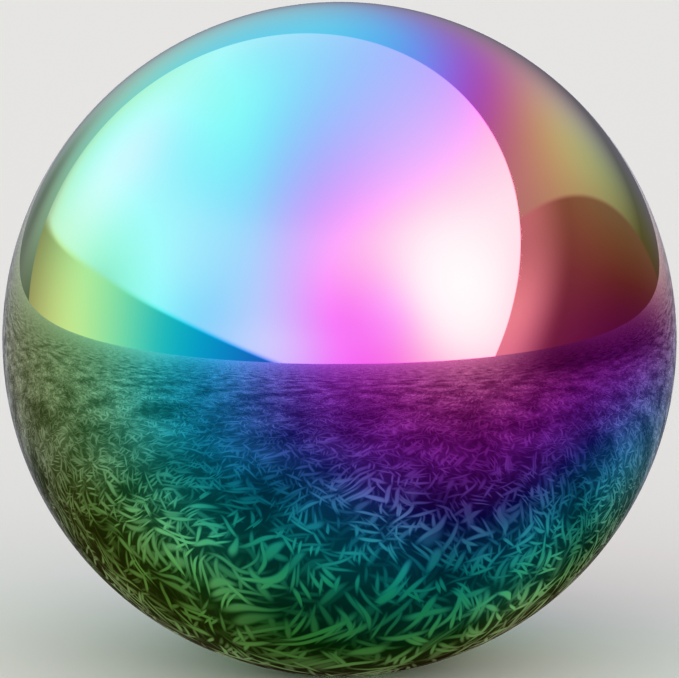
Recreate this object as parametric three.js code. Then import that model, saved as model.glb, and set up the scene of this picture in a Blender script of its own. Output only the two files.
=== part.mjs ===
// A mirror-polished garden gazing ball. Two hemispheres pressed from stainless steel sheet are butt-welded
// round the equator. A small vent at the bottom pole let the air out while the ball was welded and coated,
// and a push-in plug closes it.
// Millimetres, +Z up, origin at the ball's centre, which the weld and the vent are placed from.
import * as THREE from 'three';

// Ball
const ballDiameter = 250;
const rimWall = 0.8; // the sheet as bought, which the press leaves alone at the rims
const crownWall = 0.66; // the same sheet at the poles, where the press stretches it thinnest

// Equator weld
const weldWidth = 2.4; // between the two trimmed rims
const rootHeight = 0.5; // how far the weld's root stands in from the wall; outside it is ground flush

// Vent, in a flat-bottomed recess pressed into the bottom pole
const ventDiameter = 6;
const seatLand = 3.3; // width of the flat seat around the vent
const recessFlank = 4; // width of the slope from the seat out to the ball's own curve
const recessDepth = 1.8;

// Vent plug, a moulded stopper whose head fills the recess flush with the ball
const headClearance = 0.3;
const headEdgeRadius = 0.5;
const neckClearance = 0.3;
const barbClearance = 0.3; // between the wall and the barb that grips behind it
const barbReach = 0.8; // how far the barb stands out past the vent's edge
const barbLip = 0.6; // height of the barb's straight rim
const barbTaper = 4.2; // height of the cone from the barb to the tip
const tipDiameter = 3.4;
const tipRadius = 0.6; // rounding of the tip's end

// Facets
const aroundSteps = 72;
const archSteps = 15;
const flankSteps = 5;
const weldFaceSteps = 2;
const rootSteps = 6;
const plugAroundSteps = 36;
const crownSteps = 3;
const roundingSteps = 3;

const quarterTurn = Math.PI / 2;
const ballRadius = ballDiameter / 2;
const halfWeld = weldWidth / 2;
const ventRadius = ventDiameter / 2;
const seatRadius = ventRadius + seatLand;
const recessRadius = seatRadius + recessFlank;
const seatHeight = recessDepth - ballRadius; // height of the seat's outer face

// The two skins of the sheet, as the half width and half height of the whole form. The outer one is a true
// sphere. The inner one is an ellipsoid, so the wall thins smoothly from the rim to the pole.
const outerSkin = { across: ballRadius, up: ballRadius };
const innerSkin = { across: ballRadius - rimWall, up: ballRadius - crownWall };

// Points of an arc in a profile. A profile point is (distance from the axis, height), and its angles run
// from 0 on the equator's side to a quarter turn at the top.
function arc(centre, radii, startAngle, endAngle, steps) {
  const clockwise = endAngle < startAngle;
  const curve = new THREE.EllipseCurve(centre.x, centre.y, radii.x, radii.y, startAngle, endAngle, clockwise);
  return curve.getPoints(steps);
}

function point(distance, height) {
  return new THREE.Vector2(distance, height);
}

// A closed solid of revolution about Z.
function revolve(profile, steps) {
  return new THREE.LatheGeometry(profile, steps).rotateX(quarterTurn);
}

// One skin of a hemisphere, from its trimmed rim to the distance from the axis where its arch ends.
// Side is 1 for the upper hemisphere and -1 for the lower.
function archPoints(skin, side, endDistance) {
  const rimAngle = Math.asin(halfWeld / skin.up);
  const endAngle = Math.acos(endDistance / skin.across);
  return arc(point(0, 0), point(skin.across, side * skin.up), rimAngle, endAngle, archSteps);
}

// The upper hemisphere is a plain bowl, mouth down, whose two skins meet in a flat rim.
function upperHemisphere() {
  const [outside, inside] = [outerSkin, innerSkin].map((skin) => {
    const arch = archPoints(skin, 1, 0);
    arch.at(-1).x = 0; // the pole, exactly on the axis
    return arch;
  });
  return revolve([...inside.reverse(), ...outside], aroundSteps);
}

// One skin of the recess, from its outer edge in to the vent. A smooth step carries the ball's own curve
// down to a flat floor, which is one wall thick.
function recessPoints(skin) {
  const floor = seatHeight + (ballRadius - skin.up);
  return Array.from({ length: flankSteps + 1 }, (_, i) => recessRadius - (i / flankSteps) * recessFlank)
    .concat(ventRadius)
    .map((distance) => {
      const curve = -skin.up * Math.sqrt(1 - (distance / skin.across) ** 2);
      const blend = THREE.MathUtils.smoothstep(distance, seatRadius, recessRadius);
      return point(distance, THREE.MathUtils.lerp(floor, curve, blend));
    });
}

// The lower hemisphere is the same bowl, mouth up, with the recess and its vent pressed into the pole.
function lowerHemisphere() {
  const [outside, inside] = [outerSkin, innerSkin].map((skin) => [
    ...archPoints(skin, -1, recessRadius).slice(0, -1),
    ...recessPoints(skin),
  ]);
  const profile = [...outside.reverse(), ...inside];
  return revolve([...profile, profile[0].clone()], aroundSteps);
}

// The weld fills the gap between the rims, flush with the ball outside and with a round root inside.
function equatorWeld() {
  const [outerAngle, innerAngle] = [outerSkin, innerSkin].map((skin) => Math.asin(halfWeld / skin.up));
  const face = arc(point(0, 0), point(ballRadius, ballRadius), -outerAngle, outerAngle, weldFaceSteps);
  const wallEnd = innerSkin.across * Math.cos(innerAngle);
  const root = arc(point(wallEnd, 0), point(-rootHeight, halfWeld), quarterTurn, -quarterTurn, rootSteps);
  return revolve([...face, ...root, face[0].clone()], aroundSteps);
}

// The plug: a head whose crown carries on the ball's curve, a neck through the vent, and a barb with a
// tapered nose that was pushed through from outside.
function ventPlug() {
  const headRadius = seatRadius - headClearance;
  const neckRadius = ventRadius - neckClearance;
  const barbRadius = ventRadius + barbReach;
  const barbHeight = seatHeight + crownWall + barbClearance;
  const taperHeight = barbHeight + barbLip;
  const noseHeight = taperHeight + barbTaper;

  const crownRadius = headRadius - headEdgeRadius;
  const crownEnd = -Math.acos(crownRadius / ballRadius);
  const crown = arc(point(0, 0), point(ballRadius, ballRadius), -quarterTurn, crownEnd, crownSteps);
  crown[0].x = 0; // the pole, exactly on the axis
  const edgeCentre = point(crownRadius, crown.at(-1).y + headEdgeRadius);
  const edge = arc(edgeCentre, point(headEdgeRadius, headEdgeRadius), -quarterTurn, 0, roundingSteps);
  const tipCentre = point(tipDiameter / 2 - tipRadius, noseHeight - tipRadius);
  const tip = arc(tipCentre, point(tipRadius, tipRadius), 0, quarterTurn, roundingSteps);
  return revolve(
    [
      ...crown,
      ...edge.slice(1),
      point(headRadius, seatHeight),
      point(neckRadius, seatHeight),
      point(neckRadius, barbHeight),
      point(barbRadius, barbHeight),
      point(barbRadius, taperHeight),
      ...tip,
      point(0, noseHeight),
    ],
    plugAroundSteps,
  );
}

function piece(name, geometry, look) {
  const mesh = new THREE.Mesh(geometry, new THREE.MeshStandardMaterial(look));
  mesh.name = name;
  return mesh;
}

// The film's colour drifts round the ball, so the upper half, which faces the sky, is the paler one.
const ball = new THREE.Group();
ball.add(
  piece('upper_hemisphere', upperHemisphere(), { color: 0x9ccbf2, roughness: 0.04, metalness: 1 }),
  piece('lower_hemisphere', lowerHemisphere(), { color: 0x3f7f8f, roughness: 0.04, metalness: 1 }),
  piece('equator_weld', equatorWeld(), { color: 0x6f86c8, roughness: 0.06, metalness: 1 }),
  piece('vent_plug', ventPlug(), { color: 0x34373a, roughness: 0.7, metalness: 0 }),
);

export default ball;
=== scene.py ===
"""A garden gazing ball: pressed and welded stainless steel, polished to a mirror under a rainbow film."""

import math

import bpy
import numpy as np
from bpy.props import FloatProperty, FloatVectorProperty, PointerProperty, StringProperty
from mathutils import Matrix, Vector


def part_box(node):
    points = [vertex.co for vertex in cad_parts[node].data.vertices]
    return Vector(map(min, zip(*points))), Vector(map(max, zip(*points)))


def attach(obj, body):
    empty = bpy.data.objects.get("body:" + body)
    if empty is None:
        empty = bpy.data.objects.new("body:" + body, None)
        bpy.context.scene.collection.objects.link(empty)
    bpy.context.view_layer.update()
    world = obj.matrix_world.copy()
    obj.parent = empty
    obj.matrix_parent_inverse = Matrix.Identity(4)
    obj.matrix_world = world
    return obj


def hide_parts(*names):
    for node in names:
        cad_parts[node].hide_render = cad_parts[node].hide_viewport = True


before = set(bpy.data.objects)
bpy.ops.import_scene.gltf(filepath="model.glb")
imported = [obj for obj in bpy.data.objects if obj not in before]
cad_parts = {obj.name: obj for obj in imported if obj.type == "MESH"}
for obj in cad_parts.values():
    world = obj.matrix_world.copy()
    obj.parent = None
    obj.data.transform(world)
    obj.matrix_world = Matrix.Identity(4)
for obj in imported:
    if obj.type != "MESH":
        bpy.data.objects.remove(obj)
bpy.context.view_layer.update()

bl_info = {
    "name": "Garden Gazing Ball",
    "version": (1, 0, 0),
    "blender": (4, 5, 0),
    "location": "3D View > Sidebar > Gazing Ball",
    "description": "Builds the pieces of a mirror-polished gazing ball and a plain stage around it",
    "category": "Add Mesh",
}

MM = 0.001
AXIS_TOLERANCE = 1e-9  # in metres: a profile point closer to the axis than this is on it
BODY = "root"

# Places that the frame gives: the ball, the weld between its rims, the recess at the bottom pole and the
# plug in it.
UPPER_LOW, UPPER_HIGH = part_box("upper_hemisphere")
LOWER_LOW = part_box("lower_hemisphere")[0]
PLUG_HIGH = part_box("vent_plug")[1]
BALL_RADIUS = UPPER_HIGH[2]
HALF_WELD = UPPER_LOW[2]
RECESS_RADIUS = math.sqrt(BALL_RADIUS**2 - LOWER_LOW[2] ** 2)
HEAD_RADIUS = PLUG_HIGH[0]
NOSE_HEIGHT = PLUG_HIGH[2]

# The photograph's frame, and the ball's outline in it.
IMAGE_WIDTH_PX = 679
OUTLINE_RADIUS_PX = 337.2

# Red, green and blue light on the film: the wavelength in nanometres, the mean share of the light that comes
# back, and how strongly that share rises and falls with the film's thickness.
FILM_WAVES = ((677, 0.448, 0.837), (532, 0.43, 0.802), (444, 0.452, 0.405))

# Smooth steps, here and below, give where the input starts and ends and, if it isn't 0 and 1, the result
# there. These two give roughness by the noise of the polishing wheel's clouds and of the rubber's grain.
POLISH_ROUGHNESS = (0.35, 0.75, 0.012, 0.035)
GRAIN_ROUGHNESS = (0.3, 0.7, 0.55, 0.75)
GRAIN_DEPTH, GRAIN_STRENGTH = 0.03 * MM, 0.6
SILICONE_IOR = 1.41

# What the ball mirrors is a plain studio layout. A bright dome stands over everything, and three discs hide
# part of it, each seen as a circle round its middle direction: a low wall at the left, a flat at the back
# right, and the dark opening in the flat's right end. Their soft edges are steps of the cosine of the angle
# from the middle.
WALL_MIDDLE, WALL_EDGE = (-0.342, 0.03, -0.939), (0.07, 0.11)
FLAT_MIDDLE, FLAT_EDGE = (0.54, 0.65, -0.53), (0.029, 0.037)
OPENING_MIDDLE, OPENING_EDGE = (0.83, -0.14, -0.54), (0.375, 0.4)

# Their light. Right, back and height are parts of a unit direction.
DOME_BY_HEIGHT = (0.18, 0.69, -1.03, 1.02)  # a power of e, as the dome's glows are
WALL_BY_BACK = (0.1, 0.9, 1.84, 0.53)
FLAT_RISE, FLAT_BASE, FLAT_LEAST = 2.37, 0.03, 0.28  # the flat's light is rise times height plus base
OPENING_BY_EDGE = (0.05, 0.38, 1.6, 0.0)  # near the flat's edge, by the cosine from the flat's middle
OPENING_BY_HEIGHT = (0.15, 0.5, 1.0, 0.5)  # the share of that light
OPENING_INSIDE = (0.35, 0.8, 0.5, 0.32)  # further in, by the same cosine

# Where a tint turns to the next one.
DOME_LEFT_TURN, DOME_RIGHT_TURN = (-0.8, -0.4), (-0.45, 0.35)
FLAT_TURN, WALL_TURN = (0.3, 0.7), (-0.75, 0.25)

# Soft glows on the dome, and on the flat, where two of them are shades: direction, tightness and strength.
LAMP = (0.91, -0.41, 0.04)
DOME_GLOWS = (
    (LAMP, 1.5, 3.28),
    ((0.63, -0.71, 0.32), 19, 3.1),
    ((0.21, -0.94, 0.25), 60, 0.3),
    ((-0.41, -0.91, 0.09), 10, 2.9),
    ((-0.89, -0.40, 0.22), 13, 1.9),
    ((-0.82, 0.44, 0.37), 11, 2.4),
)
FLAT_GLOWS = (
    (LAMP, 8, 0.78),
    ((-0.4, 0.9, 0.05), 5, 0.51),
    ((0.35, 0.9, 0.15), 24, -0.19),
    ((-0.45, 0.88, 0.13), 120, -0.35),
)

# The stage's level discs. The mat lies just under the floor and reaches several times as far.
FLOOR_ROUGHNESS = 0.9
MAT_REACH, MAT_DEPTH = 6, 1 * MM

# The mat's painted light and shade. Distances are in metres.
MAT_BY_BACK = (-0.8, 0.6, 1.0, 0.68)
MAT_ASIDE, MAT_FAR = (-0.9, -0.2), (0.2, 1.6)  # what counts as aside, by back, and as far, by distance
MAT_FAR_ASIDE = (0.5, 0.95, 0.68, 0.2)  # the light that is left there, by right
STRAND_LIGHT, CALM_LIGHT = (0.05, 1.0, 0.28, 1.95), 0.85  # by the pile, and where it has evened out
MAT_CALM = (0.17, 0.34, 0.0, 0.55)  # how far it has evened out, by distance
PATCH_LIGHT = (0.3, 0.7, 0.6, 1.3)  # by the noise of the patches
MAT_TURN = (0.13, 0.34)  # from the near tint to the far one, by distance

# Painted pools of light on the mat, by their direction from the ball's centre, where its light is stronger
# or, for the last one, a painted shade where it is weaker.
MAT_GLOWS = (
    ((0.56, -0.3, -0.77), 9, 0.45),
    ((0.2, -0.82, -0.54), 26, 0.52),
    ((-0.6, -0.6, -0.52), 24, 0.3),
    ((0.92, 0.35, -0.1), 12, 0.8),
    ((-0.74, -0.66, -0.1), 60, -0.25),
)

# The flat strands in the mat's pile lie in layers: the way that a layer runs, in degrees, and the length and
# width of its strands in millimetres.
STRAND_LAYERS = ((20, 40, 6), (65, 30, 5), (140, 36, 9), (100, 26, 4), (-35, 52, 6))
STRAND_EDGE = (0.1, 0.47, 1.0, 0.0)  # from a strand's middle out to its edge, in strand widths
STRAND_GROWTH = 0.15  # the power of the distance that strands grow by
LISTED_SIZE_AT = 100 * MM  # the distance at which they are as large as listed


def length(name, description, default):
    """A length that a user can set."""
    return FloatProperty(name=name, description=description, default=default, unit="LENGTH", precision=5)


def colour(name, description, default):
    """A colour that a user can set, as an sRGB hex value."""
    return StringProperty(name=name, description=description, default=default)


def spot(name, default):
    """A direction from the ball's centre that a user can set."""
    return FloatVectorProperty(
        name=name, description="Direction in which the film differs", default=default, subtype="DIRECTION"
    )


def change_nm(name, default):
    """How much a spot adds to the film's thickness."""
    return FloatProperty(
        name=f"{name} change", description="Nanometres of film more or less at the spot", default=default
    )


def focus(name, default):
    """How tightly the film changes round a spot."""
    return FloatProperty(
        name=f"{name} focus", description="How tightly the film changes round the spot", default=default
    )


class SheetSizes(bpy.types.PropertyGroup):
    """The pressed sheet and the vent in it."""

    rim_wall: length("Rim wall", "Wall of the sheet as bought, at the rims", 0.8 * MM)
    crown_wall: length("Crown wall", "Wall where the press stretched it thinnest, at the poles", 0.66 * MM)
    root_height: length("Root height", "How far the weld's root stands in from the wall", 0.5 * MM)
    vent_radius: length("Vent radius", "Radius of the hole at the bottom pole", 3 * MM)
    recess_flank: length("Recess flank", "Width of the slope from the seat to the ball's curve", 4 * MM)
    recess_depth: length("Recess depth", "Depth of the flat seat under the ball's curve", 1.8 * MM)


class PlugSizes(bpy.types.PropertyGroup):
    """The push-in plug."""

    head_edge: length("Head edge", "Radius of the moulded edge round the head", 0.5 * MM)
    dimple_radius: length("Dimple radius", "Radius of the gate dimple in the middle of the head", 1.1 * MM)
    dimple_depth: length("Dimple depth", "Depth of the gate dimple", 0.15 * MM)
    neck_radius: length("Neck radius", "Radius of the neck in the vent", 2.7 * MM)
    barb_radius: length("Barb radius", "Radius of the barb behind the wall", 3.8 * MM)
    barb_clearance: length("Barb clearance", "Gap between the wall and the barb", 0.3 * MM)
    barb_lip: length("Barb lip", "Height of the barb's straight rim", 0.6 * MM)
    barb_rounding: length("Barb rounding", "Radius of the barb's moulded edges", 0.2 * MM)
    tip_radius: length("Tip radius", "Radius of the flat end of the nose and its rounding", 1.7 * MM)
    tip_rounding: length("Tip rounding", "Radius of the edge of the nose's end", 0.6 * MM)
    grain: length("Mould grain", "Size of the grain that the mould left", 0.25 * MM)
    bloom: length("Bloom", "Size of the paler clouds on the rubber", 3 * MM)
    dark_rubber: colour("Rubber", "Silicone rubber where it is clean", "#2B2D30")
    pale_rubber: colour("Bloomed rubber", "Silicone rubber where it has bloomed", "#43464A")


class FilmLook(bpy.types.PropertyGroup):
    """The polish, and the titanium oxide film, whose thickness over the ball sets its colour."""

    index: FloatProperty(
        name="Refractive index", description="How much the oxide slows light", default=2.4, min=1
    )
    thickness_nm: FloatProperty(
        name="Thickness", description="Film thickness away from the spots, in nanometres", default=219
    )
    broad_spot: spot("Broad spot", (0.80, 0.59, -0.11))
    broad_nm: change_nm("Broad spot", -160)
    broad_focus: focus("Broad spot", 0.8)
    side_spot: spot("Side spot", (0.78, -0.24, 0.58))
    side_nm: change_nm("Side spot", -51)
    side_focus: focus("Side spot", 9.5)
    front_spot: spot("Front spot", (0.21, -0.96, 0.19))
    front_nm: change_nm("Front spot", -71)
    front_focus: focus("Front spot", 3.4)
    small_spot: spot("Small spot", (-0.36, -0.92, -0.16))
    small_nm: change_nm("Small spot", -10)
    small_focus: focus("Small spot", 22)
    low_spot: spot("Low spot", (0.74, 0.12, -0.66))
    low_nm: change_nm("Low spot", 86)
    low_focus: focus("Low spot", 3.1)
    left_spot: spot("Left spot", (-0.63, -0.50, 0.59))
    left_nm: change_nm("Left spot", -17)
    left_focus: focus("Left spot", 22)
    top_spot: spot("Top spot", (-0.33, -0.33, 0.88))
    top_nm: change_nm("Top spot", -13)
    top_focus: focus("Top spot", 22)
    back_spot: spot("Back spot", (0.33, 0.04, 0.94))
    back_nm: change_nm("Back spot", -21)
    back_focus: focus("Back spot", 21)
    lower_spot: spot("Lower spot", (0.33, -0.80, -0.50))
    lower_nm: change_nm("Lower spot", -7)
    lower_focus: focus("Lower spot", 18)
    middle_spot: spot("Middle spot", (0.17, -0.96, 0.22))
    middle_nm: change_nm("Middle spot", 8)
    middle_focus: focus("Middle spot", 90)
    warm_spot: spot("Warm spot", (0.0, -0.93, 0.36))
    warm_nm: change_nm("Warm spot", -3.5)
    warm_focus: focus("Warm spot", 35)
    cool_spot: spot("Cool spot", (-0.27, -0.93, 0.26))
    cool_nm: change_nm("Cool spot", 3.5)
    cool_focus: focus("Cool spot", 40)
    unevenness_nm: FloatProperty(
        name="Unevenness", description="Slow drift of the thickness, either way", default=2
    )
    drift_size: length("Drift size", "Distance over which the thickness drifts", 70 * MM)
    bare_steel: colour("Bare steel", "The sheet's own colour, inside the ball", "#A19C95")
    bare_roughness: FloatProperty(
        name="Bare roughness", description="Roughness of the steel inside the ball", default=0.32
    )
    polish_marks: length("Polish marks", "Size of the clouds that the polishing wheel left", 9 * MM)
    wave_width: length("Wave width", "Width of the low waves that the press left", 26 * MM)
    wave_height: length("Wave height", "Height of these waves", 0.012 * MM)


FILM_SPOTS = [name.removesuffix("_spot") for name in FilmLook.__annotations__ if name.endswith("_spot")]


class StageLook(bpy.types.PropertyGroup):
    """The floor, the light and the camera, and the layout that only the ball's mirror shows."""

    camera_distance: length("Camera distance", "From the ball's centre", 1.3)
    camera_elevation: FloatProperty(
        name="Camera elevation", description="Above the horizon", default=math.radians(8), subtype="ANGLE"
    )
    floor_colour: colour("Floor", "Plain pale floor", "#F2F1EF")
    floor_radius: length("Floor radius", "Reach of the floor round the ball", 14)
    room_light: FloatProperty(name="Room light", description="Even light from all round", default=0.95)
    dome_colour: colour("Dome", "Light of the dome in its middle", "#E9CFCA")
    dome_right: colour("Dome, right", "Light of the dome on the lamp's side", "#FFC4FF")
    dome_left: colour("Dome, left", "Light of the dome away from the lamp", "#D8CFE9")
    wall_colour: colour("Wall", "Light of the low wall", "#E9CFC1")
    wall_right: colour("Wall, right", "Light of the low wall at its far right end", "#68A7BA")
    flat_left: colour("Flat, left", "Light of the flat away from the lamp", "#CFCFE5")
    flat_right: colour("Flat, right", "Light of the flat on the lamp's side", "#BECFB0")
    opening_colour: colour("Opening", "Light from the opening in the flat", "#D8CABF")
    mat_light: FloatProperty(name="Mat light", description="Light of the mat far from the ball", default=1.94)
    # painted shade: the ball's painted shadow on the mat has halved at this distance
    mat_shade: length("Mat shade", "Distance from the ball at which its shade has halved", 1.15)
    mat_patches: length("Mat patches", "Size of the mat's pale and dark patches", 120 * MM)
    mat_near: colour("Mat, near", "The mat between its strands, near the ball", "#FFE0E5")
    mat_far: colour("Mat, far", "The mat away from the ball", "#E3E0F3")
    strand_colour: colour("Strands", "The mat's strands, near the ball", "#D6EAB9")
    strand_bend: length("Strand bend", "How far slow bends move the strands", 35 * MM)
    bend_width: length("Bend width", "Width of these bends", 50 * MM)


def linear(hex_colour, alpha=1.0):
    """An sRGB hex colour as linear red, green, blue and alpha."""
    srgb = np.array([int(hex_colour[i : i + 2], 16) for i in (1, 3, 5)]) / 255
    rgb = np.where(srgb <= 0.04045, srgb / 12.92, ((srgb + 0.055) / 1.055) ** 2.4)
    return (*rgb.tolist(), alpha)


def add(tree, kind, inputs=None, **settings):
    """Adds a node with its settings. An input is a value, or the socket that feeds it."""
    node = tree.nodes.new(kind)
    for name, value in settings.items():
        setattr(node, name, value)
    for socket, value in (inputs or {}).items():
        if isinstance(value, bpy.types.NodeSocket):
            tree.links.new(value, node.inputs[socket])
        else:
            node.inputs[socket].default_value = value
    return node


def math_of(tree, operation, *values):
    """The result of one sum on numbers or sockets."""
    return add(tree, "ShaderNodeMath", dict(enumerate(values)), operation=operation).outputs[0]


def cosine_to(tree, direction, centre):
    """The cosine of the angle between a unit vector and a fixed direction."""
    centre = Vector(centre).normalized()
    return add(tree, "ShaderNodeVectorMath", {0: direction, 1: centre}, operation="DOT_PRODUCT").outputs[1]


def lobe(tree, direction, centre, tightness, strength):
    """A soft spot: strength times e to the power of tightness times (cosine of the angle to the centre,
    less 1)."""
    cosine = cosine_to(tree, direction, centre)
    fall = math_of(tree, "EXPONENT", math_of(tree, "MULTIPLY_ADD", cosine, tightness, -tightness))
    return math_of(tree, "MULTIPLY", fall, strength)


def with_glows(tree, direction, light, glows):
    """Light with soft spots added to it, each a direction, a tightness and a strength."""
    for centre, tightness, strength in glows:
        light = math_of(tree, "ADD", light, lobe(tree, direction, centre, tightness, strength))
    return light


def step_of(tree, value, low, high, from_value=0.0, to_value=1.0):
    """A smooth step of value from low to high."""
    node = add(
        tree,
        "ShaderNodeMapRange",
        {"Value": value, "From Min": low, "From Max": high, "To Min": from_value, "To Max": to_value},
        interpolation_type="SMOOTHSTEP",
    )
    return node.outputs[0]


def mixed(tree, share, first, second):
    """First and second, mixed by share."""
    node = add(tree, "ShaderNodeMix", {0: share, 2: first, 3: second}, data_type="FLOAT")
    return node.outputs[0]


def blend(tree, share, first, second):
    """First and second colour, mixed by share."""
    return add(tree, "ShaderNodeMix", {0: share, 6: first, 7: second}, data_type="RGBA").outputs[2]


def noise(tree, position, size, detail):
    """The outputs of a noise whose clouds are about size across."""
    node = add(tree, "ShaderNodeTexNoise", {"Vector": position, "Scale": 1 / size, "Detail": detail})
    return node.outputs


def new_material(name):
    """An empty node material, and its tree."""
    material = bpy.data.materials.new(name)
    material.use_nodes = True
    material.node_tree.nodes.clear()
    return material, material.node_tree


def film_colour(tree, look, outward, position):
    """The colour of light from a thin film. Where the way through the film and back, two times index times
    thickness, is a whole number of a colour's wavelengths, that colour is weakest: its share of the light
    is mean times (1 - contrast times the cosine of the way over the wavelength, in turns)."""
    drift = noise(tree, position, look.drift_size, 1.0)[0]
    thickness = math_of(
        tree, "MULTIPLY_ADD", drift, 2 * look.unevenness_nm, look.thickness_nm - look.unevenness_nm
    )
    for name in FILM_SPOTS:
        centre, tightness, change = (getattr(look, f"{name}_{part}") for part in ("spot", "focus", "nm"))
        thickness = math_of(tree, "ADD", thickness, lobe(tree, outward, centre, tightness, change))
    shares = []
    for wavelength_nm, mean, contrast in FILM_WAVES:
        turns = math_of(tree, "MULTIPLY", thickness, 2 * look.index * 2 * math.pi / wavelength_nm)
        wave = math_of(tree, "COSINE", turns)
        shares.append(math_of(tree, "MULTIPLY_ADD", wave, -mean * contrast, mean))
    return add(tree, "ShaderNodeCombineColor", dict(enumerate(shares))).outputs[0]


def rainbow_steel(look, wall):
    """Stainless steel sheet, pressed, polished to a mirror and coated with titanium oxide in a vacuum. The
    polish gives crisp reflections, the film their rainbow tint, and the steel's inner face is bare."""
    material, tree = new_material("mirror-polished stainless steel with titanium oxide film")
    position = add(tree, "ShaderNodeTexCoord").outputs["Object"]
    outward = add(tree, "ShaderNodeVectorMath", {0: position}, operation="NORMALIZE").outputs[0]
    distance = add(tree, "ShaderNodeVectorMath", {0: position}, operation="LENGTH").outputs[1]
    inside = math_of(tree, "LESS_THAN", distance, BALL_RADIUS - wall / 2)
    film = film_colour(tree, look, outward, position)
    base = blend(tree, inside, film, linear(look.bare_steel))
    marks = noise(tree, position, look.polish_marks, 4.0)[0]
    polish = step_of(tree, marks, *POLISH_ROUGHNESS)
    roughness = mixed(tree, inside, polish, look.bare_roughness)
    waves = noise(tree, position, look.wave_width, 1.5)[0]
    bump = add(tree, "ShaderNodeBump", {"Strength": 1.0, "Distance": look.wave_height, "Height": waves})
    shader = add(
        tree,
        "ShaderNodeBsdfPrincipled",
        {"Base Color": base, "Metallic": 1.0, "Roughness": roughness, "Normal": bump.outputs[0]},
    )
    add(tree, "ShaderNodeOutputMaterial", {"Surface": shader.outputs[0]})
    return material


def plug_rubber(sizes):
    """Silicone rubber, pressure moulded. It is matt and very dark, with the fine spark-eroded grain of the
    mould."""
    material, tree = new_material("moulded silicone rubber")
    position = add(tree, "ShaderNodeTexCoord").outputs["Object"]
    grain = noise(tree, position, sizes.grain, 3.0)[0]
    bloom = noise(tree, position, sizes.bloom, 2.0)[0]
    tint = blend(tree, bloom, linear(sizes.dark_rubber), linear(sizes.pale_rubber))
    bump = add(tree, "ShaderNodeBump", {"Strength": GRAIN_STRENGTH, "Distance": GRAIN_DEPTH, "Height": grain})
    shader = add(
        tree,
        "ShaderNodeBsdfPrincipled",
        {
            "Base Color": tint,
            "Roughness": step_of(tree, grain, *GRAIN_ROUGHNESS),
            "IOR": SILICONE_IOR,
            "Normal": bump.outputs[0],
        },
    )
    add(tree, "ShaderNodeOutputMaterial", {"Surface": shader.outputs[0]})
    return material


def arc(centre, radii, start, end, steps):
    """Points of an arc in a profile: centre plus radii times (cosine, sine) of angles from start to end."""
    angle = np.linspace(start, end, steps + 1)
    return np.asarray(centre) + np.asarray(radii) * np.stack([np.cos(angle), np.sin(angle)], axis=1)


def straight(start, end):
    """Points of a straight stretch of a profile."""
    return np.linspace(start, end, 3)


def revolve(name, runs, steps):
    """A closed surface of revolution about Z. The profile is a list of runs, each a smooth stretch of points
    (distance from the axis, height), and a corner lies between two runs. It goes up the outside and down the
    inside, so its normal is its tangent turned a quarter turn to the right. Turned by an angle t, a profile
    point is (distance times cosine t, distance times sine t, height)."""
    profile = np.concatenate([run[:-1] for run in runs] + [runs[-1][-1:]])
    tangents = [np.gradient(run, axis=0, edge_order=2) for run in runs]
    normals = [np.stack([t[:, 1], -t[:, 0]], axis=1) / np.linalg.norm(t, axis=1)[:, None] for t in tangents]
    segment_normals = np.stack(
        [np.concatenate([n[:-1] for n in normals]), np.concatenate([n[1:] for n in normals])], axis=1
    )

    turn = 2 * np.pi * np.arange(steps) / steps
    circle = np.stack([np.cos(turn), np.sin(turn)], axis=1)
    closes = np.allclose(profile[0], profile[-1])
    rings = profile[:-1] if closes else profile
    on_axis = rings[:, 0] < AXIS_TOLERANCE
    ring_sizes = np.where(on_axis, 1, steps)
    first = np.concatenate([[0], np.cumsum(ring_sizes)[:-1]])
    index = first[:, None] + np.where(on_axis, 0, 1)[:, None] * np.arange(steps)[None, :]
    across = rings[:, None, 0, None] * circle[None, :, :]
    grid = np.concatenate([across, np.broadcast_to(rings[:, None, 1, None], (*across.shape[:2], 1))], axis=2)
    points = np.empty((ring_sizes.sum(), 3))
    points[index.ravel()] = grid.reshape(-1, 3)

    low = index
    high = np.roll(index, -1, axis=0)
    if not closes:
        low, high = low[:-1], high[:-1]
    low_next, high_next = np.roll(low, -1, axis=1), np.roll(high, -1, axis=1)
    corners = np.stack([low, low_next, high_next, low, high_next, high], axis=2)

    next_circle = np.roll(circle, -1, axis=0)

    def turned(normal, directions):
        flat = normal[:, None, 0, None] * directions[None, :, :]
        return np.concatenate([flat, np.broadcast_to(normal[:, None, 1, None], (*flat.shape[:2], 1))], axis=2)

    start, end = segment_normals[:, 0], segment_normals[:, 1]
    low_n, low_next_n = turned(start, circle), turned(start, next_circle)
    high_n, high_next_n = turned(end, circle), turned(end, next_circle)
    corner_normals = np.stack([low_n, low_next_n, high_next_n, low_n, high_next_n, high_n], axis=2)

    triangles = corners.reshape(-1, 3)
    triangle_normals = corner_normals.reshape(-1, 3, 3)
    whole = (
        (triangles[:, 0] != triangles[:, 1])
        & (triangles[:, 1] != triangles[:, 2])
        & (triangles[:, 0] != triangles[:, 2])
    )
    triangles, triangle_normals = triangles[whole], triangle_normals[whole]

    mesh = bpy.data.meshes.new(name)
    mesh.vertices.add(len(points))
    mesh.vertices.foreach_set("co", points.ravel())
    mesh.loops.add(triangles.size)
    mesh.loops.foreach_set("vertex_index", triangles.ravel().astype(np.int32))
    mesh.polygons.add(len(triangles))
    mesh.polygons.foreach_set("loop_start", np.arange(0, triangles.size, 3, dtype=np.int32))
    mesh.polygons.foreach_set("use_smooth", np.ones(len(triangles), dtype=bool))
    mesh.update(calc_edges=True)
    mesh.normals_split_custom_set(triangle_normals.reshape(-1, 3))
    return mesh


def add_piece(mesh, material, node):
    """Puts a piece in the scene. It rides on the body, stands for its CAD node and has its material slot."""
    mesh.materials.append(material)
    piece = bpy.data.objects.new(mesh.name, mesh)
    bpy.context.scene.collection.objects.link(piece)
    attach(piece, BODY)
    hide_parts(node)
    return piece


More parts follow.
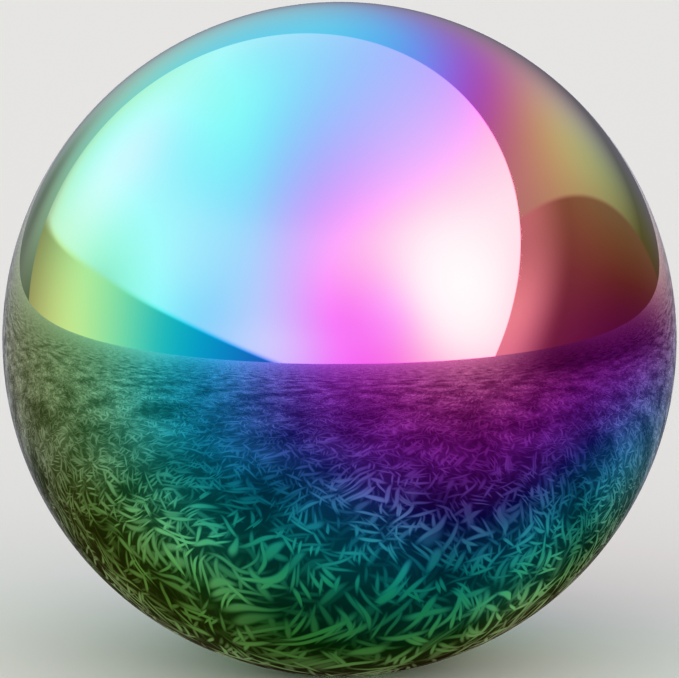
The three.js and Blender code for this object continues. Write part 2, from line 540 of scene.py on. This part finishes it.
def skins(sizes):
    """Half width and half height of the outer skin, a sphere, and of the inner one, an ellipsoid."""
    inner = (BALL_RADIUS - sizes.rim_wall, BALL_RADIUS - sizes.crown_wall)
    return (BALL_RADIUS, BALL_RADIUS), inner


def recess_skin(skin, sizes, steps):
    """One skin of the recess from the vent out to the ball's own curve. Its height is the seat's, blended
    into the curve by a smooth step of the distance from the axis."""
    seat_radius = RECESS_RADIUS - sizes.recess_flank
    floor = sizes.recess_depth - skin[1]
    distance = np.linspace(seat_radius, RECESS_RADIUS, steps + 1)
    share = (distance - seat_radius) / sizes.recess_flank
    smooth = share**2 * (3 - 2 * share)
    curve = -skin[1] * np.sqrt(1 - (distance / skin[0]) ** 2)
    flank = np.stack([distance, floor + (curve - floor) * smooth], axis=1)
    return [straight((sizes.vent_radius, floor), (seat_radius, floor)), flank]


class BALL_OT_hemispheres(bpy.types.Operator):
    """Make the two polished hemispheres"""

    bl_idname = "gazing_ball.hemispheres"
    bl_label = "Hemispheres"

    AROUND = 288
    OUTER_STEPS = 128
    INNER_STEPS = 36
    FLANK_STEPS = 16

    def execute(self, context):
        sizes = context.scene.ball_sheet
        outer, inner = skins(sizes)
        material = rainbow_steel(context.scene.ball_film, sizes.rim_wall)
        rim_angles = [math.asin(HALF_WELD / skin[1]) for skin in (outer, inner)]

        top = math.pi / 2
        outside = arc((0, 0), outer, rim_angles[0], top, self.OUTER_STEPS)
        inside = arc((0, 0), inner, top, rim_angles[1], self.INNER_STEPS)
        outside[-1, 0] = inside[0, 0] = 0
        rim = straight(inside[-1], outside[0])
        mesh = revolve("polished_upper_hemisphere", [inside, rim, outside], self.AROUND)
        add_piece(mesh, material, "upper_hemisphere")

        recess_angles = [math.acos(RECESS_RADIUS / skin[0]) for skin in (outer, inner)]
        outside = arc((0, 0), outer, -recess_angles[0], -rim_angles[0], self.OUTER_STEPS)
        inside = arc((0, 0), inner, -rim_angles[1], -recess_angles[1], self.INNER_STEPS)
        outer_seat, outer_flank = recess_skin(outer, sizes, self.FLANK_STEPS)
        inner_seat, inner_flank = recess_skin(inner, sizes, self.FLANK_STEPS)
        outer_flank[-1] = outside[0]
        inner_flank[-1] = inside[-1]
        runs = [
            outer_seat,
            outer_flank,
            outside,
            straight(outside[-1], inside[0]),
            inside,
            inner_flank[::-1],
            inner_seat[::-1],
            straight(inner_seat[0], outer_seat[0]),
        ]
        mesh = revolve("polished_lower_hemisphere", runs, self.AROUND)
        add_piece(mesh, material, "lower_hemisphere")
        return {"FINISHED"}


class BALL_OT_weld(bpy.types.Operator):
    """Make the weld round the equator"""

    bl_idname = "gazing_ball.weld"
    bl_label = "Equator Weld"

    AROUND = 288
    FACE_STEPS = 4
    ROOT_STEPS = 16

    def execute(self, context):
        sizes = context.scene.ball_sheet
        outer, inner = skins(sizes)
        outer_angle, inner_angle = (math.asin(HALF_WELD / skin[1]) for skin in (outer, inner))
        face = arc((0, 0), outer, -outer_angle, outer_angle, self.FACE_STEPS)
        wall_end = inner[0] * math.cos(inner_angle)
        root = arc(
            (wall_end, 0), (-sizes.root_height, HALF_WELD), math.pi / 2, -math.pi / 2, self.ROOT_STEPS
        )
        runs = [face, straight(face[-1], root[0]), root, straight(root[-1], face[0])]
        mesh = revolve("polished_equator_weld", runs, self.AROUND)
        add_piece(
            mesh, rainbow_steel(context.scene.ball_film, sizes.rim_wall), "equator_weld"
        )
        return {"FINISHED"}


class BALL_OT_vent_plug(bpy.types.Operator):
    """Make the rubber plug in the vent"""

    bl_idname = "gazing_ball.vent_plug"
    bl_label = "Vent Plug"

    AROUND = 96
    ROUND_STEPS = 8

    def execute(self, context):
        sheet, sizes = context.scene.ball_sheet, context.scene.ball_plug
        steps = self.ROUND_STEPS
        quarter = math.pi / 2
        seat = sheet.recess_depth - BALL_RADIUS
        barb = seat + sheet.crown_wall + sizes.barb_clearance
        lip = barb + sizes.barb_lip

        crown_radius = HEAD_RADIUS - sizes.head_edge
        share = np.linspace(0, 1, 3 * steps + 1)
        distance = share * crown_radius
        dimple = np.clip(1 - (distance / sizes.dimple_radius) ** 2, 0, 1) ** 2 * sizes.dimple_depth
        crown = np.stack([distance, dimple - np.sqrt(BALL_RADIUS**2 - distance**2)], axis=1)
        edge_centre = crown[-1] + (0, sizes.head_edge)
        edge = arc(edge_centre, (sizes.head_edge, sizes.head_edge), -quarter, 0, steps)
        edge[0] = crown[-1]
        rounding = sizes.barb_rounding
        barb_edge = arc(
            (sizes.barb_radius - rounding, barb + rounding), (rounding, rounding), -quarter, 0, steps
        )
        tip_rounding = sizes.tip_rounding
        tip = arc(
            (sizes.tip_radius - tip_rounding, NOSE_HEIGHT - tip_rounding),
            (tip_rounding, tip_rounding),
            0,
            quarter,
            steps,
        )
        runs = [
            crown,
            edge,
            straight(edge[-1], (HEAD_RADIUS, seat)),
            straight((HEAD_RADIUS, seat), (sizes.neck_radius, seat)),
            straight((sizes.neck_radius, seat), (sizes.neck_radius, barb)),
            straight((sizes.neck_radius, barb), barb_edge[0]),
            barb_edge,
            straight(barb_edge[-1], (sizes.barb_radius, lip)),
            straight((sizes.barb_radius, lip), tip[0]),
            tip,
            straight(tip[-1], (0, NOSE_HEIGHT)),
        ]
        mesh = revolve("moulded_vent_plug", runs, self.AROUND)
        add_piece(mesh, plug_rubber(sizes), "vent_plug")
        return {"FINISHED"}


def mirror_light(tree, look):
    """The light that the polished ball mirrors, by direction, and its colour. The dome grows brighter with
    height and round its glows. The wall fades towards the back and turns bluer towards the front. The flat
    grows brighter with height from a least value, and the light in its opening fades with height and with the
    distance from the flat's edge."""
    direction = add(tree, "ShaderNodeTexCoord").outputs["Generated"]
    right, back, height = add(tree, "ShaderNodeSeparateXYZ", {0: direction}).outputs
    dome = with_glows(tree, direction, step_of(tree, height, *DOME_BY_HEIGHT), DOME_GLOWS)
    dome = math_of(tree, "EXPONENT", dome)
    wall_light = step_of(tree, back, *WALL_BY_BACK)
    flat_light = math_of(tree, "MULTIPLY_ADD", height, FLAT_RISE, FLAT_BASE)
    flat_light = math_of(tree, "MAXIMUM", with_glows(tree, direction, flat_light, FLAT_GLOWS), FLAT_LEAST)
    into_flat = cosine_to(tree, direction, FLAT_MIDDLE)
    edge_light = step_of(tree, into_flat, *OPENING_BY_EDGE)
    edge_light = math_of(tree, "MULTIPLY", edge_light, step_of(tree, height, *OPENING_BY_HEIGHT))
    opening_light = math_of(tree, "ADD", edge_light, step_of(tree, into_flat, *OPENING_INSIDE))

    wall = step_of(tree, cosine_to(tree, direction, WALL_MIDDLE), *WALL_EDGE)
    opening = step_of(tree, cosine_to(tree, direction, OPENING_MIDDLE), *OPENING_EDGE)
    flat = step_of(tree, into_flat, *FLAT_EDGE)
    light = mixed(tree, wall, dome, wall_light)
    light = mixed(tree, flat, light, mixed(tree, opening, flat_light, opening_light))

    middle_to_right = step_of(tree, right, *DOME_RIGHT_TURN)
    left_to_middle = step_of(tree, right, *DOME_LEFT_TURN)
    dome_tint = blend(tree, middle_to_right, linear(look.dome_colour), linear(look.dome_right))
    dome_tint = blend(tree, left_to_middle, linear(look.dome_left), dome_tint)
    flat_end = step_of(tree, right, *FLAT_TURN)
    flat_tint = blend(tree, flat_end, linear(look.flat_left), linear(look.flat_right))
    wall_end = step_of(tree, back, *WALL_TURN)
    wall_tint = blend(tree, wall_end, linear(look.wall_right), linear(look.wall_colour))
    tint = blend(tree, wall, dome_tint, wall_tint)
    tint = blend(tree, flat, tint, blend(tree, opening, flat_tint, linear(look.opening_colour)))
    return light, tint


def pile_of(tree, look, position, distance):
    """The mat's pile: 0 between its strands, and up to 1 along the middle of a pale one. A layer's strands
    are the cells of a Voronoi pattern that is drawn out along the layer. A slow noise bends them all, and
    they grow with a low power of the distance, so far ones still show."""
    growth = math_of(tree, "POWER", math_of(tree, "DIVIDE", distance, LISTED_SIZE_AT), -STRAND_GROWTH)
    place = add(tree, "ShaderNodeVectorMath", {0: position, "Scale": growth}, operation="SCALE").outputs[0]
    bends = noise(tree, place, look.bend_width, 1.0)["Color"]
    reach = (look.strand_bend, look.strand_bend, 0)
    place = add(tree, "ShaderNodeVectorMath", {0: bends, 1: reach, 2: place}, operation="MULTIPLY_ADD")
    pile = 0.0
    for turn, long, wide in STRAND_LAYERS:
        along = add(
            tree,
            "ShaderNodeMapping",
            {
                "Vector": place.outputs[0],
                "Location": (turn, 0, 0),
                "Rotation": (0, 0, math.radians(turn)),
                "Scale": (long * MM, wide * MM, 1),
            },
            vector_type="TEXTURE",
        ).outputs[0]
        cell = add(tree, "ShaderNodeTexVoronoi", {"Vector": along, "Scale": 1.0}, voronoi_dimensions="2D")
        strand = step_of(tree, cell.outputs["Distance"], *STRAND_EDGE)
        paleness = add(tree, "ShaderNodeSeparateColor", {0: cell.outputs["Color"]}).outputs[0]
        pile = math_of(tree, "MAXIMUM", pile, math_of(tree, "MULTIPLY", strand, paleness))
    return pile


class BALL_OT_stage(bpy.types.Operator):
    """Make the floor, the light and the camera"""

    bl_idname = "gazing_ball.stage"
    bl_label = "Stage"

    DISC_STEPS = 96

    def execute(self, context):
        look = context.scene.ball_stage
        self.add_floor(look)
        self.add_dark_mat(look)
        self.add_light(look)
        self.add_camera(look)
        context.scene.view_settings.view_transform = "Khronos PBR Neutral"
        return {"FINISHED"}

    def add_disc(self, name, radius, height, material):
        """A level disc that is part of the stage."""
        mesh = bpy.data.meshes.new(name)
        angle = 2 * np.pi * np.arange(self.DISC_STEPS) / self.DISC_STEPS
        rim = np.stack([radius * np.cos(angle), radius * np.sin(angle), np.full_like(angle, height)], axis=1)
        mesh.from_pydata(rim.tolist(), [], [list(range(self.DISC_STEPS))])
        mesh.materials.append(material)
        disc = bpy.data.objects.new(name, mesh)
        bpy.context.scene.collection.objects.link(disc)
        return disc

    def add_floor(self, look):
        """A plain pale floor under the ball. The ball's mirror shows the dark mat in its place."""
        material, tree = new_material("matt painted floor")
        inputs = {"Color": linear(look.floor_colour), "Roughness": FLOOR_ROUGHNESS}
        shader = add(tree, "ShaderNodeBsdfDiffuse", inputs)
        add(tree, "ShaderNodeOutputMaterial", {"Surface": shader.outputs[0]})
        floor = self.add_disc("floor", look.floor_radius, -BALL_RADIUS, material)
        floor.visible_glossy = False

    def add_dark_mat(self, look):
        """A dark mat with a pile of flat strands, which only the ball's mirror shows, so that the lower half
        has depth. It is no lamp but glows, and all its light and shade is painted. At a distance r its light
        is r over (r plus the mat shade), a painted shadow of the ball, with painted shade behind the ball and
        far off at its sides, most of all on the right, times the painted pools of light of the glows, the
        patches' own light and that of the pile, whose pale and dark even out with distance."""
        material, tree = new_material("glowing shaggy mat with painted light and shade")
        position = add(tree, "ShaderNodeTexCoord").outputs["Object"]
        distance = add(tree, "ShaderNodeVectorMath", {0: position}, operation="LENGTH").outputs[1]
        # painted shadow of the ball: the mat's glow falls off towards the ball
        painted_ball_shadow = math_of(tree, "DIVIDE", distance, math_of(tree, "ADD", distance, look.mat_shade))
        light = math_of(tree, "MULTIPLY", painted_ball_shadow, look.mat_light)
        right, back, _ = add(tree, "ShaderNodeSeparateXYZ", {0: position}).outputs
        right, back = (math_of(tree, "DIVIDE", side, distance) for side in (right, back))
        # painted shade behind the ball and, below, far off at its sides
        light = math_of(tree, "MULTIPLY", light, step_of(tree, back, *MAT_BY_BACK))
        aside, far = step_of(tree, back, *MAT_ASIDE), step_of(tree, distance, *MAT_FAR)
        far_aside = math_of(tree, "MULTIPLY", aside, far)
        dimmed = mixed(tree, far_aside, 1.0, step_of(tree, right, *MAT_FAR_ASIDE))
        light = math_of(tree, "MULTIPLY", light, dimmed)
        outward = add(tree, "ShaderNodeVectorMath", {0: position}, operation="NORMALIZE").outputs[0]
        # painted pools of light, and one painted shade, from the mat's glows
        light = math_of(tree, "MULTIPLY", light, with_glows(tree, outward, 1.0, MAT_GLOWS))
        pile = pile_of(tree, look, position, distance)
        calm = step_of(tree, distance, *MAT_CALM)
        strands = mixed(tree, calm, step_of(tree, pile, *STRAND_LIGHT), CALM_LIGHT)
        light = math_of(tree, "MULTIPLY", light, strands)
        patches = noise(tree, position, look.mat_patches, 3.0)[0]
        light = math_of(tree, "MULTIPLY", light, step_of(tree, patches, *PATCH_LIGHT))
        near = blend(tree, pile, linear(look.mat_near), linear(look.strand_colour))
        tint = blend(tree, step_of(tree, distance, *MAT_TURN), near, linear(look.mat_far))
        # the mat glows: an emission that paints its light and shade, not a lamp
        glow = add(tree, "ShaderNodeEmission", {"Color": tint, "Strength": light})
        add(tree, "ShaderNodeOutputMaterial", {"Surface": glow.outputs[0]})
        mat = self.add_disc("dark_mat", look.floor_radius * MAT_REACH, -BALL_RADIUS - MAT_DEPTH, material)
        mat.visible_camera = mat.visible_diffuse = mat.visible_shadow = False

    def add_light(self, look):
        """Even room light for all but the ball's mirror, which shows the layout of mirror_light."""
        world = bpy.data.worlds.new("soft studio light")
        world.use_nodes = True
        tree = world.node_tree
        tree.nodes.clear()
        bpy.context.scene.world = world
        path = add(tree, "ShaderNodeLightPath").outputs
        direct = math_of(tree, "LESS_THAN", path["Diffuse Depth"], 0.5)
        mirrored = math_of(tree, "MULTIPLY", path["Is Glossy Ray"], direct)
        light, tint = mirror_light(tree, look)
        light = mixed(tree, mirrored, look.room_light, light)
        tint = blend(tree, mirrored, (1, 1, 1, 1), tint)
        background = add(tree, "ShaderNodeBackground", {"Color": tint, "Strength": light})
        add(tree, "ShaderNodeOutputWorld", {"Surface": background.outputs[0]})

    def add_camera(self, look):
        """The camera looks at the ball's centre. Its lens makes the ball's outline as wide as in the
        photograph: the outline of a ball is seen under the angle whose sine is radius over distance."""
        data = bpy.data.cameras.new("camera")
        outline = math.tan(math.asin(BALL_RADIUS / look.camera_distance))
        data.lens = data.sensor_width * OUTLINE_RADIUS_PX / outline / IMAGE_WIDTH_PX
        camera = bpy.data.objects.new("camera", data)
        bpy.context.scene.collection.objects.link(camera)
        back = Vector((0, -math.cos(look.camera_elevation), math.sin(look.camera_elevation)))
        camera.location = back * look.camera_distance
        camera.rotation_euler = (-back).to_track_quat("-Z", "Y").to_euler()
        bpy.context.scene.camera = camera


class BALL_PT_panel(bpy.types.Panel):
    """The ball's sizes and the buttons that build it"""

    bl_idname = "BALL_PT_panel"
    bl_label = "Gazing Ball"
    bl_space_type = "VIEW_3D"
    bl_region_type = "UI"
    bl_category = "Gazing Ball"

    def draw(self, context):
        for title, group, operators in (
            ("Sheet", context.scene.ball_sheet, (BALL_OT_hemispheres, BALL_OT_weld)),
            ("Film", context.scene.ball_film, ()),
            ("Plug", context.scene.ball_plug, (BALL_OT_vent_plug,)),
            ("Stage", context.scene.ball_stage, (BALL_OT_stage,)),
        ):
            box = self.layout.box()
            box.label(text=title)
            for name in type(group).__annotations__:
                box.prop(group, name)
            for operator in operators:
                box.operator(operator.bl_idname)


OPERATORS = (BALL_OT_hemispheres, BALL_OT_weld, BALL_OT_vent_plug, BALL_OT_stage)
GROUPS = {"ball_sheet": SheetSizes, "ball_plug": PlugSizes, "ball_film": FilmLook, "ball_stage": StageLook}


def register():
    for group in GROUPS.values():
        bpy.utils.register_class(group)
    for name, group in GROUPS.items():
        setattr(bpy.types.Scene, name, PointerProperty(type=group))
    for operator in OPERATORS:
        bpy.utils.register_class(operator)
    bpy.utils.register_class(BALL_PT_panel)


def unregister():
    bpy.utils.unregister_class(BALL_PT_panel)
    for operator in reversed(OPERATORS):
        bpy.utils.unregister_class(operator)
    for name in GROUPS:
        delattr(bpy.types.Scene, name)
    for group in reversed(GROUPS.values()):
        bpy.utils.unregister_class(group)


def main():
    register()
    bpy.ops.gazing_ball.hemispheres()
    bpy.ops.gazing_ball.weld()
    bpy.ops.gazing_ball.vent_plug()
    bpy.ops.gazing_ball.stage()


if __name__ == "__main__":
    main()
